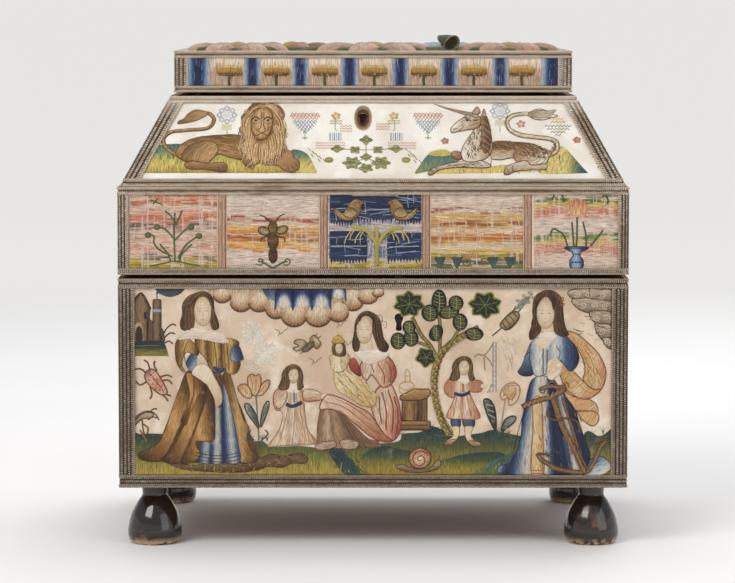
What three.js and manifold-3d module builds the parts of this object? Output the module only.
// A seventeenth-century raised-work casket: a satin-covered box on four turned feet, with a hipped roof
// that opens as the main lid and a small flat box on top of it that opens as a second lid.
// Millimetres. X runs left to right, Y front to back and Z up from the floor under the feet.
import * as THREE from "three";
import { mergeVertices } from "three/addons/utils/BufferGeometryUtils.js";
import Module from "manifold-3d";

const wasm = await Module();
wasm.setup();

// Driving dimensions of the whole
const CASKET_WIDTH = 280; // over the corner braids of the base
const CASKET_DEPTH = 186;
const CASKET_HEIGHT = 272.5; // floor to the braid on the top; the base takes what the other storeys leave
const FOOT_HEIGHT = 33; // floor to the underside of the base
const FRIEZE_HEIGHT = 48;
const SLOPE_RISE = 48.8;
const SLOPE_RUN = 26.5; // how far each slope leans in
const TOP_HEIGHT = 23.2;
const EAVES_STEP = 1; // the slopes start this far inside the frieze
const TOP_SET_BACK = 2.2; // the top box stands this far inside the slopes' upper edges
const JOINT_GAP = 2; // the dark line under each lid

// Layers on the boards
const SEAT = 0.3; // glue or running gap between neighbours
const SATIN = 0.6;
const BRAID = 1.2;
const BRAID_CORNER = 2.4; // outer radius of a braided corner
const CORNER_SEGMENTS = 4;

// Boards
const BOARD = 9.5;
const FLOOR_BOARD = 8;
const SLOPE_BOARD = 6;
const DECK_BOARD = 6;
const TOP_FRAME_BOARD = 6;
const TOP_BOARD = 5;

// Braid widths
const BASE_TOP_BRAID = 5.5;
const BASE_BOTTOM_BRAID = 7.1;
const BASE_CORNER_BRAID = 8.7;
const FRIEZE_RIBBON = 3.3;
const FRIEZE_CORNER_BRAID = 5.6;
const EAVES_BRAID = 4.2;
const SLOPE_FOOT_BRAID = 4.4;
const SLOPE_TOP_BRAID = 3.6;
const HIP_BRAID = 8; // measured along the slope's level line
const TOP_LOWER_BRAID = 3.8;
const TOP_UPPER_BRAID = 3.8;
const TOP_CORNER_BRAID = 7.4;
const TOP_FLAT_BRAID = 6; // the part that lies on the top

// Feet
const FOOT_RADIUS = 15;
const FOOT_INSET = 18.7; // foot's axis from the base's sides
const TENON_RADIUS = 4;
const TENON_HEIGHT = 5;
const FOOT_SEGMENTS = 24;
// Radius as a share of FOOT_RADIUS and height as a share of the space under the base
const FOOT_PROFILE_SHARES = [
  [0.84, 0],
  [0.93, 0.036],
  [0.995, 0.13],
  [1, 0.24],
  [0.955, 0.36],
  [0.86, 0.5],
  [0.69, 0.65],
  [0.55, 0.75],
  [0.475, 0.8],
  [0.46, 0.85],
  [0.49, 1],
];

// Linings and tray
const LINING = 3; // silk over pasteboard in the well
const WELL_FLOOR = 1.5;
const UPPER_LINING = 1.2;
const TRAY_HEIGHT = 30;
const TRAY_WALL = 2.5;
const TRAY_PLAY = 1; // tray to boards, each side
const TRAY_DROP = 3; // tray's rim below the base's rim
const TRAY_DIVIDER = 2.2;
const DIVIDER_DROP = 4;

// Locks
const LOWER_KEYHOLE = { x: 14.1, drop: 23.9, width: 5, tall: 9.4 }; // drop below the base's rim
const UPPER_KEYHOLE = { x: -5.6, drop: 13.2, width: 5.5, tall: 8.2 }; // drop below the roof's rim
const KEY_RECESS = 1; // depth of the keyhole in the lock's plate
const CASE_WIDTH = 46;
const LOWER_CASE = { thickness: 7.2, height: 32 };
const UPPER_CASE = { thickness: 8, height: 22 };
const STAPLE_WIDTH = 4; // along the bolt
const STAPLE_PLATE = 3.8; // front to back
const STAPLE_REACH = 9; // below the lock's top
const STAPLE_BAR = 0.9; // in front of the bolt and behind it
const STAPLE_TANG = 9; // into the frieze board
const STAPLE_PLAY = 0.8;
const BOLT_LENGTH = 13;
const BOLT_HEIGHT = 3;
const BOLT_THICKNESS = 1.4;
const BOLT_DEPTH = 5; // bolt's axis below the lock's top
const BOLT_CATCH = 2; // how far a thrown bolt enters beyond the slot
const STAPLE_PALM = { tall: 11, thickness: 1.6 }; // of the upper staple

// Hinges
const HINGE_WIDTH = 26;
const HINGE_SPACING = 150; // lower pair, centre to centre
const UPPER_HINGE_SPACING = 120;
const KNUCKLE_RADIUS = 1.9;
const PIN_RADIUS = 0.75;
const PIN_CLEARANCE = 0.08;
const LEAF = 0.55;
const LEAF_GAP = 0.3; // between a hinge's two leaves when shut
const LEAF_LENGTH = 8; // over the board's back edge
const ROUND_SEGMENTS = 24;

// Mirror and raised work of the top
const MIRROR = 2;
const MIRROR_MARGIN = 7;
const RAISED_PAD = 1; // stitched ground under the petals
const RAISED_HEIGHT = 5.4; // fullest petals over the satin
const CURL_HEIGHT = 10.4; // tip of the curled leaf over the satin
const CURL_THICKNESS = 1.1;
const CURL_WIDTH = 9;
const STEM_WIDTH = 5;

const CUT = 2; // overrun of every cutting solid

// Geometry helpers
function toSolid(geometry) {
  const bare = new THREE.BufferGeometry();
  bare.setAttribute("position", geometry.getAttribute("position"));
  if (geometry.index) bare.setIndex(geometry.index);
  const merged = mergeVertices(bare);
  return new wasm.Manifold(
    new wasm.Mesh({
      numProp: 3,
      vertProperties: new Float32Array(merged.attributes.position.array),
      triVerts: new Uint32Array(merged.index.array),
    }),
  );
}

function toGeometry(solid) {
  const mesh = solid.getMesh();
  const geometry = new THREE.BufferGeometry();
  geometry.setAttribute("position", new THREE.BufferAttribute(mesh.vertProperties, 3));
  geometry.setIndex(new THREE.BufferAttribute(mesh.triVerts, 1));
  const flat = geometry.toNonIndexed();
  flat.computeVertexNormals();
  return flat;
}

function join(first, ...others) {
  return toGeometry(others.reduce((sum, g) => sum.add(toSolid(g)), toSolid(first)));
}

function cut(first, ...others) {
  return toGeometry(others.reduce((sum, g) => sum.subtract(toSolid(g)), toSolid(first)));
}

function meet(first, second) {
  return toGeometry(toSolid(first).intersect(toSolid(second)));
}

function block([x0, x1], [y0, y1], [z0, z1]) {
  const geometry = new THREE.BoxGeometry(x1 - x0, y1 - y0, z1 - z0);
  return geometry.translate((x0 + x1) / 2, (y0 + y1) / 2, (z0 + z1) / 2);
}

function across(centre, size) {
  return [centre - size / 2, centre + size / 2];
}

function both(half) {
  return [-half, half];
}

function rectangle(path, [hx, hy], radius) {
  path.moveTo(hx, -hy + radius);
  path.lineTo(hx, hy - radius);
  if (radius) path.absarc(hx - radius, hy - radius, radius, 0, Math.PI / 2);
  path.lineTo(-hx + radius, hy);
  if (radius) path.absarc(-hx + radius, hy - radius, radius, Math.PI / 2, Math.PI);
  path.lineTo(-hx, -hy + radius);
  if (radius) path.absarc(-hx + radius, -hy + radius, radius, Math.PI, Math.PI * 1.5);
  path.lineTo(hx - radius, -hy);
  if (radius) path.absarc(hx - radius, -hy + radius, radius, Math.PI * 1.5, Math.PI * 2);
  return path;
}

// A level band round a box: outer half sizes, wall thickness, height range and outer corner radius.
function band([hx, hy], wall, [z0, z1], radius = 0) {
  const shape = rectangle(new THREE.Shape(), [hx, hy], radius);
  shape.holes.push(rectangle(new THREE.Path(), [hx - wall, hy - wall], 0));
  const geometry = new THREE.ExtrudeGeometry(shape, {
    depth: z1 - z0,
    bevelEnabled: false,
    curveSegments: CORNER_SEGMENTS,
  });
  return geometry.translate(0, 0, z0);
}

// The part of such a band within `leg` of one corner.
function cornerStrip(half, wall, range, leg, [sx, sy]) {
  const [hx, hy] = half;
  const along = (sign, h) => (sign > 0 ? [h - leg, h + CUT] : [-h - CUT, -h + leg]);
  return meet(band(half, wall, range, BRAID_CORNER), block(along(sx, hx), along(sy, hy), range));
}

const CORNERS = [
  { name: "front_left", signs: [-1, -1] },
  { name: "front_right", signs: [1, -1] },
  { name: "back_left", signs: [-1, 1] },
  { name: "back_right", signs: [1, 1] },
];

// A solid between a lower and an upper ring of four points, each ring anticlockwise seen from above.
function hexahedron(lower, upper) {
  const points = [...lower, ...upper];
  const quads = [[3, 2, 1, 0], [4, 5, 6, 7], [0, 1, 5, 4], [1, 2, 6, 5], [2, 3, 7, 6], [3, 0, 4, 7]];
  const geometry = new THREE.BufferGeometry();
  geometry.setAttribute("position", new THREE.Float32BufferAttribute(points.flat(), 3));
  geometry.setIndex(quads.flatMap(([a, b, c, d]) => [a, b, c, a, c, d]));
  const flat = geometry.toNonIndexed();
  flat.computeVertexNormals();
  return flat;
}

// A round bar along X.
function bar(radius, [x0, x1]) {
  const geometry = new THREE.CylinderGeometry(radius, radius, x1 - x0, ROUND_SEGMENTS);
  return geometry.rotateZ(-Math.PI / 2).translate((x0 + x1) / 2, 0, 0);
}

// Materials, in the colours of the photographed casket
function material(color, roughness, metalness = 0) {
  return new THREE.MeshStandardMaterial({ color, roughness, metalness });
}

const BASE_SATIN = material(0xd8c6b4, 0.45);
const SLOPE_SATIN = material(0xece6dc, 0.45);
const FRIEZE_SILK = material(0xd9c3ae, 0.5);
const TOP_SATIN = material(0xdccbb4, 0.45);
const SILVER_BRAID = material(0x8b7f70, 0.55, 0.4);
const CARCASE_WOOD = material(0x8a6240, 0.7);
const FOOT_WOOD = material(0x2a2220, 0.25);
const LINING_SILK = material(0xc98a78, 0.6);
const TRAY_SILK = material(0xd09a86, 0.6);
const BRASS = material(0xb08d4a, 0.35, 1);
const STEEL = material(0x6d6a66, 0.45, 1);
const MIRROR_GLASS = material(0xcfd6d8, 0.05, 1);
const RAISED_SILK = material(0xcfa58c, 0.6);

const casket = new THREE.Group();

function piece(parent, name, geometry, finish) {
  const mesh = new THREE.Mesh(geometry, finish);
  mesh.name = name;
  parent.add(mesh);
  return mesh;
}

function section(parent) {
  const group = new THREE.Group();
  parent.add(group);
  return group;
}

// Layers measured inwards from a braided face
const SATIN_INSET = BRAID + SEAT;
const BOARD_INSET = SATIN_INSET + SATIN + SEAT;

function inset([hx, hy], by) {
  return [hx - by, hy - by];
}

// Levels
const BASE_BOTTOM = FOOT_HEIGHT;
const LIDS_HEIGHT = FRIEZE_HEIGHT + SLOPE_RISE + TOP_HEIGHT + 2 * JOINT_GAP;
const BASE_TOP = CASKET_HEIGHT - LIDS_HEIGHT;
const ROOF_BOTTOM = BASE_TOP + JOINT_GAP;
const EAVES = ROOF_BOTTOM + FRIEZE_HEIGHT;
const ROOF_TOP = EAVES + SLOPE_RISE;
const LID_BOTTOM = ROOF_TOP + JOINT_GAP;
const LID_TOP = LID_BOTTOM + TOP_HEIGHT;

// Half sizes over the braid
const BASE_HALF = [CASKET_WIDTH / 2, CASKET_DEPTH / 2];
const BOARD_HALF = inset(BASE_HALF, BOARD_INSET);
const WELL_HALF = inset(BOARD_HALF, BOARD);
const EAVES_HALF = inset(BASE_HALF, EAVES_STEP);
const ROOF_TOP_HALF = inset(EAVES_HALF, SLOPE_RUN);
const TOP_HALF = inset(ROOF_TOP_HALF, TOP_SET_BACK);
const SLANT = Math.hypot(SLOPE_RISE, SLOPE_RUN) / SLOPE_RISE; // level thickness of a sloping layer

// Base: five boards, four satin panels, braids and feet
const base = section(casket);
const CASE_POCKET = LOWER_CASE.thickness + SEAT;
const LOWER_CASE_TOP = BASE_TOP - SEAT;
const KEY_Z = BASE_TOP - LOWER_KEYHOLE.drop;

function keyCut({ x, width, tall }, z, yRange) {
  return block(across(x, width), yRange, across(z, tall));
}

function frontKeyCut() {
  return keyCut(LOWER_KEYHOLE, KEY_Z, [-BASE_HALF[1] - CUT, -WELL_HALF[1] + CUT]);
}

function baseBoards() {
  const [bx, by] = BOARD_HALF;
  const [wx, wy] = WELL_HALF;
  const height = [BASE_BOTTOM, BASE_TOP];
  const pocket = block(
    across(LOWER_KEYHOLE.x, CASE_WIDTH + 2 * SEAT),
    [-wy - CASE_POCKET, -wy + CUT],
    [LOWER_CASE_TOP - LOWER_CASE.height - SEAT, BASE_TOP + CUT],
  );
  piece(base, "front_board", cut(block(both(bx), [-by, -wy], height), pocket, frontKeyCut()), CARCASE_WOOD);
  piece(base, "back_board", block(both(bx), [wy, by], height), CARCASE_WOOD);
  piece(base, "left_board", block([-bx, -wx], both(wy - SEAT), height), CARCASE_WOOD);
  piece(base, "right_board", block([wx, bx], both(wy - SEAT), height), CARCASE_WOOD);
  const sockets = CORNERS.map(({ signs }) => {
    const [x, y] = footPlace(signs);
    const depth = TENON_HEIGHT + SEAT + CUT;
    const radius = TENON_RADIUS + SEAT;
    const socket = new THREE.CylinderGeometry(radius, radius, depth, FOOT_SEGMENTS);
    return socket.rotateX(Math.PI / 2).translate(x, y, BASE_BOTTOM - CUT + depth / 2);
  });
  const floor = block(both(wx - SEAT), both(wy - SEAT), [BASE_BOTTOM, BASE_BOTTOM + FLOOR_BOARD]);
  piece(base, "floor_board", cut(floor, ...sockets), CARCASE_WOOD);
}

function baseSatins() {
  const [sx, sy] = inset(BASE_HALF, SATIN_INSET);
  const [bx, by] = BOARD_HALF;
  const height = [BASE_BOTTOM, BASE_TOP];
  const front = block(both(bx), [-sy, -sy + SATIN], height);
  piece(base, "base_front_satin", cut(front, frontKeyCut()), BASE_SATIN);
  piece(base, "base_back_satin", block(both(bx), [sy - SATIN, sy], height), BASE_SATIN);
  piece(base, "base_left_satin", block([-sx, -sx + SATIN], both(by), height), BASE_SATIN);
  piece(base, "base_right_satin", block([sx - SATIN, sx], both(by), height), BASE_SATIN);
}

function baseBraids() {
  const lower = [BASE_BOTTOM, BASE_BOTTOM + BASE_BOTTOM_BRAID];
  const upper = [BASE_TOP - BASE_TOP_BRAID, BASE_TOP];
  piece(base, "base_bottom_braid", band(BASE_HALF, BRAID, lower, BRAID_CORNER), SILVER_BRAID);
  piece(base, "base_top_braid", band(BASE_HALF, BRAID, upper, BRAID_CORNER), SILVER_BRAID);
  for (const { name, signs } of CORNERS) {
    const range = [lower[1] + SEAT, upper[0] - SEAT];
    const strip = cornerStrip(BASE_HALF, BRAID, range, BASE_CORNER_BRAID, signs);
    piece(base, "base_corner_braid_" + name, strip, SILVER_BRAID);
  }
}

function footPlace([sx, sy]) {
  return [sx * (BASE_HALF[0] - FOOT_INSET), sy * (BASE_HALF[1] - FOOT_INSET)];
}

function feet() {
  const height = BASE_BOTTOM - SEAT;
  const outline = [
    new THREE.Vector2(0, 0),
    ...FOOT_PROFILE_SHARES.map(([r, z]) => new THREE.Vector2(r * FOOT_RADIUS, z * height)),
    new THREE.Vector2(TENON_RADIUS, height),
    new THREE.Vector2(TENON_RADIUS, BASE_BOTTOM + TENON_HEIGHT),
    new THREE.Vector2(0, BASE_BOTTOM + TENON_HEIGHT),
  ];
  for (const { name, signs } of CORNERS) {
    const turned = new THREE.LatheGeometry(outline, FOOT_SEGMENTS).rotateX(Math.PI / 2);
    const foot = piece(base, "foot_" + name, turned, FOOT_WOOD);
    foot.position.set(...footPlace(signs), 0);
  }
}

baseBoards();
baseSatins();
baseBraids();
feet();

// Well lining, whose rim carries the tray
const TRAY_TOP = BASE_TOP - TRAY_DROP;
const TRAY_BOTTOM = TRAY_TOP - TRAY_HEIGHT;
const LINING_HALF = inset(WELL_HALF, SEAT);
const LINING_BOTTOM = BASE_BOTTOM + FLOOR_BOARD + SEAT;

// An open box with upright walls.
function openBox([hx, hy], [z0, z1], wall, floor) {
  const hollow = block(both(hx - wall), both(hy - wall), [z0 + floor, z1 + CUT]);
  return cut(block(both(hx), both(hy), [z0, z1]), hollow);
}

const liningRange = [LINING_BOTTOM, TRAY_BOTTOM - SEAT];
piece(base, "well_lining", openBox(LINING_HALF, liningRange, LINING, WELL_FLOOR), LINING_SILK);

// Tray with half-lapped dividers
const tray = section(casket);

function trayPieces() {
  const half = inset(WELL_HALF, TRAY_PLAY);
  const inside = inset(half, TRAY_WALL + SEAT);
  piece(tray, "tray_box", openBox(half, [TRAY_BOTTOM, TRAY_TOP], TRAY_WALL, TRAY_WALL), TRAY_SILK);
  const height = [TRAY_BOTTOM + TRAY_WALL + SEAT, TRAY_TOP - DIVIDER_DROP];
  const long = block(both(inside[0]), both(TRAY_DIVIDER / 2), height);
  const short = block(both(TRAY_DIVIDER / 2), both(inside[1]), height);
  piece(tray, "tray_dividers", join(long, short), TRAY_SILK);
}

trayPieces();

// Locks. Their own frame starts at the slot's centre on the lock's top face.
const SLOT_WIDTH = STAPLE_WIDTH + 2 * SEAT;
const SLOT_THICKNESS = STAPLE_PLATE + 2 * STAPLE_PLAY;
const SLOT_DEPTH = STAPLE_REACH + STAPLE_PLAY;
const BOLT_END = -SLOT_WIDTH / 2 - SEAT; // bolt's tip when it is drawn back
const BOLT_TRAVEL = SLOT_WIDTH + SEAT + BOLT_CATCH; // its joint's range

function lockCase(body, keyhole, frontY) {
  const slot = block(both(SLOT_WIDTH / 2), both(SLOT_THICKNESS / 2), [-SLOT_DEPTH, CUT]);
  const channel = block(
    [BOLT_END - BOLT_LENGTH - SEAT, BOLT_END + BOLT_TRAVEL + SEAT],
    both(BOLT_THICKNESS / 2 + SEAT),
    across(-BOLT_DEPTH, BOLT_HEIGHT + 2 * SEAT),
  );
  const recess = block(
    across(0, keyhole.width),
    [frontY - CUT, frontY + KEY_RECESS],
    across(keyhole.z, keyhole.tall),
  );
  return cut(body, slot, channel, recess);
}

function lockBolt() {
  const reach = [BOLT_END - BOLT_LENGTH, BOLT_END];
  return block(reach, both(BOLT_THICKNESS / 2), across(-BOLT_DEPTH, BOLT_HEIGHT));
}

// A staple's loop, from `top` down into the slot, with the window that the bolt passes.
function stapleLoop(top) {
  const plate = block(both(STAPLE_WIDTH / 2), both(STAPLE_PLATE / 2), [-STAPLE_REACH, top]);
  const window = block(
    both(STAPLE_WIDTH / 2 + CUT),
    both(STAPLE_PLATE / 2 - STAPLE_BAR),
    across(-BOLT_DEPTH, BOLT_HEIGHT + 2 * STAPLE_PLAY),
  );
  return cut(plate, window);
}

const LOWER_SLOT = [LOWER_KEYHOLE.x, -WELL_HALF[1] - LOWER_CASE.thickness / 2, LOWER_CASE_TOP];
const lowerBolt = section(casket);

function lowerLock() {
  const body = block(both(CASE_WIDTH / 2), both(LOWER_CASE.thickness / 2), [-LOWER_CASE.height, 0]);
  const keyhole = { ...LOWER_KEYHOLE, z: KEY_Z - LOWER_CASE_TOP };
  const plate = lockCase(body, keyhole, -LOWER_CASE.thickness / 2);
  piece(base, "lower_lock_case", plate, STEEL).position.set(...LOWER_SLOT);
  piece(lowerBolt, "lower_lock_bolt", lockBolt(), STEEL).position.set(...LOWER_SLOT);
}

lowerLock();

// Hinges. Their own frame has X along the pin, and the leaves run towards -Y.
const LEAF_START = KNUCKLE_RADIUS + SEAT;

function knuckleSpan(index) {
  const length = (HINGE_WIDTH - 2 * SEAT) / 3;
  const start = -HINGE_WIDTH / 2 + index * (length + SEAT);
  return [start, start + length];
}

function leafPlate(level, tongue, knuckles) {
  const plate = block(both(HINGE_WIDTH / 2), [-tongue - LEAF_LENGTH, -LEAF_START], level);
  const tabs = knuckles.map((i) => block(knuckleSpan(i), [-LEAF_START - SEAT, 0], level));
  return join(plate, ...tabs, ...knuckles.map((i) => bar(KNUCKLE_RADIUS, knuckleSpan(i))));
}

function hinge(name, fixedTo, movingTo, place, tongue) {
  const lower = [-LEAF_GAP / 2 - LEAF, -LEAF_GAP / 2];
  const upper = [LEAF_GAP / 2, LEAF_GAP / 2 + LEAF];
  const fixed = join(leafPlate(lower, tongue, [0, 2]), bar(PIN_RADIUS, both(HINGE_WIDTH / 2 - SEAT)));
  const bore = bar(PIN_RADIUS + PIN_CLEARANCE, both(HINGE_WIDTH / 2 + CUT));
  const moving = cut(leafPlate(upper, tongue, [1]), bore);
  piece(fixedTo, name + "_fixed_leaf", fixed, BRASS).position.set(...place);
  piece(movingTo, name + "_lid_leaf", moving, BRASS).position.set(...place);
}

// Roof: frieze boards, mitred slope boards and the deck between them
const roof = section(casket);
const [FX, FY] = BOARD_HALF;
const [WX, WY] = WELL_HALF;
const FRIEZE_TOP = EAVES - SEAT;
const DECK_TOP = FRIEZE_TOP;
const DECK_BOTTOM = DECK_TOP - DECK_BOARD;
const LOWER_TANG_TOP = ROOF_BOTTOM + STAPLE_TANG;

function friezeBoards() {
  const height = [ROOF_BOTTOM, FRIEZE_TOP];
  const mortise = block(
    across(LOWER_SLOT[0], STAPLE_WIDTH + 2 * SEAT),
    across(LOWER_SLOT[1], STAPLE_PLATE + 2 * SEAT),
    [ROOF_BOTTOM - CUT, LOWER_TANG_TOP + SEAT],
  );
  piece(roof, "frieze_front_board", cut(block(both(FX), [-FY, -WY], height), mortise), CARCASE_WOOD);
  piece(roof, "frieze_back_board", block(both(FX), [WY, FY], height), CARCASE_WOOD);
  piece(roof, "frieze_left_board", block([-FX, -WX], both(WY - SEAT), height), CARCASE_WOOD);
  piece(roof, "frieze_right_board", block([WX, FX], both(WY - SEAT), height), CARCASE_WOOD);
  const deck = block(both(WX - SEAT), both(WY - SEAT), [DECK_BOTTOM, DECK_TOP]);
  piece(roof, "roof_deck", deck, CARCASE_WOOD);
}

// Half size of a layer of the hipped roof at height z, `depth` under its braided surface.
function hipHalf(half, z, depth) {
  return half - ((z - EAVES) / SLOPE_RISE) * SLOPE_RUN - depth * SLANT;
}

// One side of such a layer, mitred at both ends.
function hipSide([along, out], depth, wall, [z0, z1]) {
  const ring = (z) => {
    const end = (d) => hipHalf(along, z, d) - SEAT;
    const face = (d) => -hipHalf(out, z, d);
    const inner = depth + wall;
    return [
      [-end(depth), face(depth), z],
      [end(depth), face(depth), z],
      [end(inner), face(inner), z],
      [-end(inner), face(inner), z],
    ];
  };
  return hexahedron(ring(z0), ring(z1));
}

// A whole hipped layer with sharp corners.
function hipSolid(depth, [z0, z1]) {
  const ring = (z) => {
    const [hx, hy] = EAVES_HALF.map((half) => hipHalf(half, z, depth));
    return [[-hx, -hy, z], [hx, -hy, z], [hx, hy, z], [-hx, hy, z]];
  };
  return hexahedron(ring(z0), ring(z1));
}

const [EX, EY] = EAVES_HALF;
const SIDES = [
  { name: "front", size: [EX, EY], turn: 0 },
  { name: "right", size: [EY, EX], turn: Math.PI / 2 },
  { name: "back", size: [EX, EY], turn: Math.PI },
  { name: "left", size: [EY, EX], turn: -Math.PI / 2 },
];
const UPPER_KEY_Z = ROOF_TOP - UPPER_KEYHOLE.drop;

function slopeKeyCut() {
  return keyCut(UPPER_KEYHOLE, UPPER_KEY_Z, [-BASE_HALF[1] - CUT, -TOP_HALF[1] / 2]);
}

function slopes() {
  for (const { name, size, turn } of SIDES) {
    let board = hipSide(size, BOARD_INSET, SLOPE_BOARD, [EAVES, ROOF_TOP]).rotateZ(turn);
    let satin = hipSide(size, SATIN_INSET, SATIN, [EAVES, ROOF_TOP]).rotateZ(turn);
    if (name === "front") {
      board = cut(board, slopeKeyCut());
      satin = cut(satin, slopeKeyCut());
    }
    piece(roof, "slope_" + name + "_board", board, CARCASE_WOOD);
    piece(roof, "slope_" + name + "_satin", satin, SLOPE_SATIN);
  }
}

// A trapezoid on a slope, clear of its hip braids and between its foot and top braids, as a cutter.
function slopeWindow([along], turn) {
  const [z0, z1] = [EAVES + SLOPE_FOOT_BRAID, ROOF_TOP - SLOPE_TOP_BRAID];
  const edge = (z) => hipHalf(along, z, 0) - HIP_BRAID;
  const shape = new THREE.Shape();
  shape.moveTo(-edge(z0), z0);
  shape.lineTo(edge(z0), z0);
  shape.lineTo(edge(z1), z1);
  shape.lineTo(-edge(z1), z1);
  const reach = Math.max(...BASE_HALF) + CUT;
  const prism = new THREE.ExtrudeGeometry(shape, { depth: reach, bevelEnabled: false });
  return prism.rotateX(Math.PI / 2).rotateZ(turn);
}

function roofCovers() {
  const friezeHalf = inset(BASE_HALF, SATIN_INSET);
  piece(roof, "frieze_satin", band(friezeHalf, SATIN, [ROOF_BOTTOM, FRIEZE_TOP]), FRIEZE_SILK);
  const corners = CORNERS.map(({ signs }) =>
    cornerStrip(BASE_HALF, BRAID, [ROOF_BOTTOM, FRIEZE_TOP], FRIEZE_CORNER_BRAID, signs),
  );
  const ribbon = band(BASE_HALF, BRAID, [ROOF_BOTTOM, ROOF_BOTTOM + FRIEZE_RIBBON], BRAID_CORNER);
  const eaves = band(BASE_HALF, BRAID, [FRIEZE_TOP - EAVES_BRAID, FRIEZE_TOP], BRAID_CORNER);
  piece(roof, "frieze_edging", join(ribbon, eaves, ...corners), SILVER_BRAID);
  const hollow = hipSolid(BRAID, [EAVES - CUT, ROOF_TOP + CUT]);
  const windows = SIDES.map(({ size, turn }) => slopeWindow(size, turn));
  piece(roof, "slope_edging", cut(hipSolid(0, [EAVES, ROOF_TOP]), hollow, ...windows), SILVER_BRAID);
}

// Silk lining of the upper well: a floor on the deck and walls up the backs of the slopes
const UPPER_LINING_DEPTH = BOARD_INSET + SLOPE_BOARD + SEAT;
const UPPER_WELL_DEPTH = UPPER_LINING_DEPTH + UPPER_LINING;

function upperLining() {
  const outer = hipSolid(UPPER_LINING_DEPTH, [EAVES, ROOF_TOP]);
  const hollow = hipSolid(UPPER_WELL_DEPTH, [EAVES + UPPER_LINING, ROOF_TOP + CUT]);
  piece(roof, "upper_well_lining", cut(outer, hollow, slopeKeyCut()), LINING_SILK);
}

friezeBoards();
slopes();
roofCovers();
upperLining();

// Lower staple, driven up into the frieze's front board
const lowerStaple = piece(roof, "lower_lock_staple", stapleLoop(LOWER_TANG_TOP - LOWER_CASE_TOP), STEEL);
lowerStaple.position.set(...LOWER_SLOT);

// Upper lock, fixed inside the front slope, whose back it follows
const UPPER_CASE_TOP = ROOF_TOP - SEAT;
const UPPER_CASE_FRONT = -hipHalf(EY, UPPER_CASE_TOP, UPPER_WELL_DEPTH) + SEAT * SLANT;
const UPPER_SLOT = [UPPER_KEYHOLE.x, UPPER_CASE_FRONT + UPPER_CASE.thickness / 2, UPPER_CASE_TOP];
const upperBolt = section(casket);

function upperLock() {
  const half = UPPER_CASE.thickness / 2;
  const lean = (UPPER_CASE.height / SLOPE_RISE) * SLOPE_RUN;
  const ring = (front, z) => [
    [-CASE_WIDTH / 2, front, z],
    [CASE_WIDTH / 2, front, z],
    [CASE_WIDTH / 2, half, z],
    [-CASE_WIDTH / 2, half, z],
  ];
  const body = hexahedron(ring(-half - lean, -UPPER_CASE.height), ring(-half, 0));
  const z = UPPER_KEY_Z - UPPER_CASE_TOP;
  const front = -half + (z / SLOPE_RISE) * SLOPE_RUN;
  const plate = lockCase(body, { ...UPPER_KEYHOLE, z }, front);
  piece(roof, "upper_lock_case", plate, STEEL).position.set(...UPPER_SLOT);
  piece(upperBolt, "upper_lock_bolt", lockBolt(), STEEL).position.set(...UPPER_SLOT);
}

upperLock();

// Top lid: a frame and a board, covered with satin, with a mirror inside and raised work outside
const topLid = section(casket);
const LID_BOARD_HALF = inset(TOP_HALF, BOARD_INSET);
const LID_HOLLOW_HALF = inset(LID_BOARD_HALF, TOP_FRAME_BOARD);
const LID_SATIN_TOP = LID_TOP - SATIN_INSET;
const LID_BOARD_TOP = LID_TOP - BOARD_INSET;
const LID_BOARD_BOTTOM = LID_BOARD_TOP - TOP_BOARD;

function lidPieces() {
  const frame = band(LID_BOARD_HALF, TOP_FRAME_BOARD, [LID_BOTTOM, LID_BOARD_BOTTOM - SEAT]);
  piece(topLid, "top_frame", frame, CARCASE_WOOD);
  const [bx, by] = LID_BOARD_HALF;
  piece(topLid, "top_board", block(both(bx), both(by), [LID_BOARD_BOTTOM, LID_BOARD_TOP]), CARCASE_WOOD);
  const [mx, my] = inset(LID_HOLLOW_HALF, MIRROR_MARGIN);
  const mirrorTop = LID_BOARD_BOTTOM - SEAT;
  piece(topLid, "lid_mirror", block(both(mx), both(my), [mirrorTop - MIRROR, mirrorTop]), MIRROR_GLASS);
  const [sx, sy] = inset(TOP_HALF, SATIN_INSET);
  const cover = block(both(sx), both(sy), [LID_BOTTOM, LID_SATIN_TOP]);
  const hollow = block(both(sx - SATIN), both(sy - SATIN), [LID_BOTTOM - CUT, LID_SATIN_TOP - SATIN]);
  piece(topLid, "top_satin", cut(cover, hollow), TOP_SATIN);
}

function lidEdging() {
  const range = [LID_BOTTOM, LID_TOP];
  const corners = CORNERS.map(({ signs }) => cornerStrip(TOP_HALF, BRAID, range, TOP_CORNER_BRAID, signs));
  const lower = band(TOP_HALF, BRAID, [LID_BOTTOM, LID_BOTTOM + TOP_LOWER_BRAID], BRAID_CORNER);
  const upper = band(TOP_HALF, BRAID, [LID_TOP - TOP_UPPER_BRAID, LID_TOP], BRAID_CORNER);
  const flat = band(TOP_HALF, TOP_FLAT_BRAID, [LID_TOP - BRAID, LID_TOP], BRAID_CORNER);
  piece(topLid, "top_edging", join(lower, upper, flat, ...corners), SILVER_BRAID);
}

// The staple's palm is fixed inside the frame, and its plate reaches down into the lock.
function upperStaple() {
  const palmFront = -LID_HOLLOW_HALF[1] + SEAT - UPPER_SLOT[1];
  const foot = LID_BOTTOM + SEAT - UPPER_CASE_TOP;
  const stepTop = foot + STAPLE_PALM.thickness;
  const wide = both(STAPLE_WIDTH / 2);
  const palm = block(wide, [palmFront, palmFront + STAPLE_PALM.thickness], [foot, foot + STAPLE_PALM.tall]);
  const step = block(wide, [palmFront, STAPLE_PLATE / 2], [foot, stepTop]);
  const staple = join(stapleLoop(stepTop), palm, step);
  piece(topLid, "upper_lock_staple", staple, STEEL).position.set(...UPPER_SLOT);
}

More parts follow.
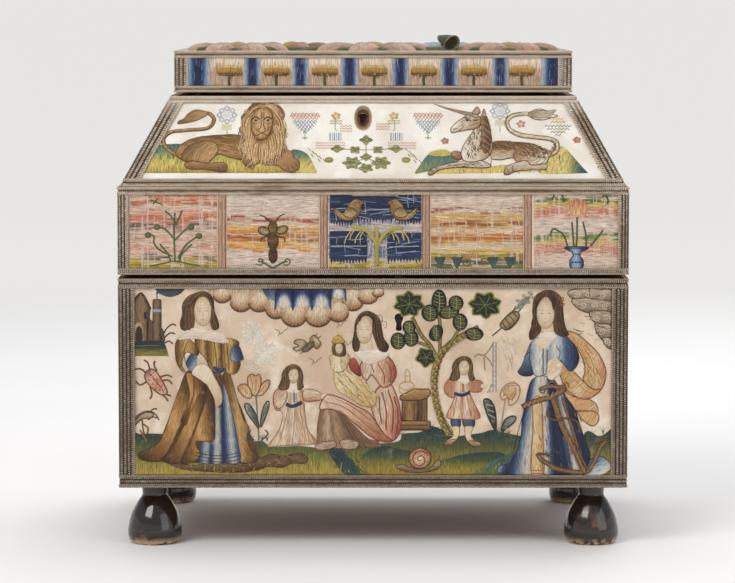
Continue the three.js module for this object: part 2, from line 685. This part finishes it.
// Raised silk flowers on the top: petals and leaves are flattened ovals that run into each other.
const RAISED_SEAT = LID_SATIN_TOP + SEAT;
const RAISED_HALF = inset(TOP_HALF, TOP_FLAT_BRAID + SEAT);
const OVAL_SIDES = 10;
const OVAL_RINGS = 6;
// Centre and radius as shares of the field's half width and half depth
const FLOWER_SHARES = [
  { x: 0, y: 0, radius: 0.6, petals: 7 },
  { x: -0.45, y: 0.3, radius: 0.42, petals: 5 },
  { x: 0.45, y: 0.3, radius: 0.42, petals: 5 },
  { x: -0.74, y: -0.2, radius: 0.5, petals: 6 },
  { x: 0.74, y: -0.2, radius: 0.5, petals: 6 },
];
const PETAL_LENGTH_SHARE = 0.36;
const PETAL_WIDTH_SHARE = 0.3;
// Where the curled leaf stands along and across the field, and its turns
const CURL_SHARES = { x: 0.4, y: -0.3 };
const CURL_STEPS = 14;
const CURL_TURNS = 0.8;

function oval([x, y], [a, b], height, angle) {
  const geometry = new THREE.SphereGeometry(1, OVAL_SIDES, OVAL_RINGS);
  return geometry.rotateX(Math.PI / 2).scale(a, b, height).rotateZ(angle).translate(x, y, RAISED_SEAT);
}

function flower({ x, y, radius, petals }) {
  const [hx, hy] = RAISED_HALF;
  const size = radius * hy;
  const centre = [x * hx, y * hy];
  const heart = oval(centre, [size / 2, size / 2], RAISED_HEIGHT, 0);
  const round = Array.from({ length: petals }, (_, i) => {
    const angle = (i / petals) * 2 * Math.PI;
    const reach = size - PETAL_LENGTH_SHARE * size;
    const place = [centre[0] + reach * Math.cos(angle), centre[1] + reach * Math.sin(angle)];
    const sizes = [PETAL_LENGTH_SHARE * size, PETAL_WIDTH_SHARE * size];
    return oval(place, sizes, RAISED_HEIGHT, angle);
  });
  return [heart, ...round];
}

// A strip rolled up on itself, seen along Y.
function curledLeaf() {
  const tallest = (CURL_HEIGHT - CURL_THICKNESS) / 2;
  const place = (turn, radius) => {
    const angle = -Math.PI / 2 + turn * 2 * Math.PI;
    return [radius * Math.cos(angle), tallest + radius * Math.sin(angle)];
  };
  const steps = Array.from({ length: CURL_STEPS + 1 }, (_, i) => (i / CURL_STEPS) * CURL_TURNS);
  const outside = steps.map((turn) => place(turn, tallest + CURL_THICKNESS / 2));
  const inside = steps.map((turn) => place(turn, tallest - CURL_THICKNESS / 2)).reverse();
  const shape = new THREE.Shape([...outside, ...inside].map(([x, z]) => new THREE.Vector2(x, z)));
  const roll = new THREE.ExtrudeGeometry(shape, { depth: CURL_WIDTH, bevelEnabled: false });
  const [x, y] = [CURL_SHARES.x * RAISED_HALF[0], CURL_SHARES.y * RAISED_HALF[1]];
  const lift = RAISED_SEAT + CURL_THICKNESS / 2;
  return roll.rotateX(Math.PI / 2).translate(x, y + CURL_WIDTH / 2, lift);
}

function raisedWork() {
  const [hx, hy] = RAISED_HALF;
  const stems = FLOWER_SHARES.slice(1).map(({ x, y }) => {
    const reach = Math.hypot(x * hx, y * hy);
    const angle = Math.atan2(y * hy, x * hx);
    return oval([(x * hx) / 2, (y * hy) / 2], [reach / 2, STEM_WIDTH], RAISED_HEIGHT / 2, angle);
  });
  const [cx, cy] = [CURL_SHARES.x * hx, CURL_SHARES.y * hy];
  const twig = oval([cx, cy / 2], [STEM_WIDTH, STEM_WIDTH - cy / 2], RAISED_HEIGHT / 2, 0);
  const above = block(both(hx), both(hy), [RAISED_SEAT, RAISED_SEAT + CURL_HEIGHT + CUT]);
  const pad = block(both(hx), both(hy), [RAISED_SEAT, RAISED_SEAT + RAISED_PAD]);
  const whole = join(pad, twig, ...stems, ...FLOWER_SHARES.flatMap(flower), curledLeaf());
  piece(topLid, "raised_flowers", meet(whole, above), RAISED_SILK);
}

lidPieces();
lidEdging();
upperStaple();
raisedWork();

// Hinge places: each barrel stands just behind the faces above and below it
const LOWER_BARREL_Y = BASE_HALF[1] + LEAF_START;
const UPPER_BARREL_Y = ROOF_TOP_HALF[1] + LEAF_START;

for (const [side, sign] of [["left", -1], ["right", 1]]) {
  const lowerPlace = [(sign * HINGE_SPACING) / 2, LOWER_BARREL_Y, BASE_TOP + JOINT_GAP / 2];
  hinge("lower_hinge_" + side, base, roof, lowerPlace, LEAF_START);
  const upperPlace = [(sign * UPPER_HINGE_SPACING) / 2, UPPER_BARREL_Y, ROOF_TOP + JOINT_GAP / 2];
  hinge("upper_hinge_" + side, roof, topLid, upperPlace, LEAF_START + TOP_SET_BACK);
}

// The origin is midway between the front braid and the back of the lower hinges.
casket.position.y = -(LEAF_START + KNUCKLE_RADIUS) / 2;

export default casket;
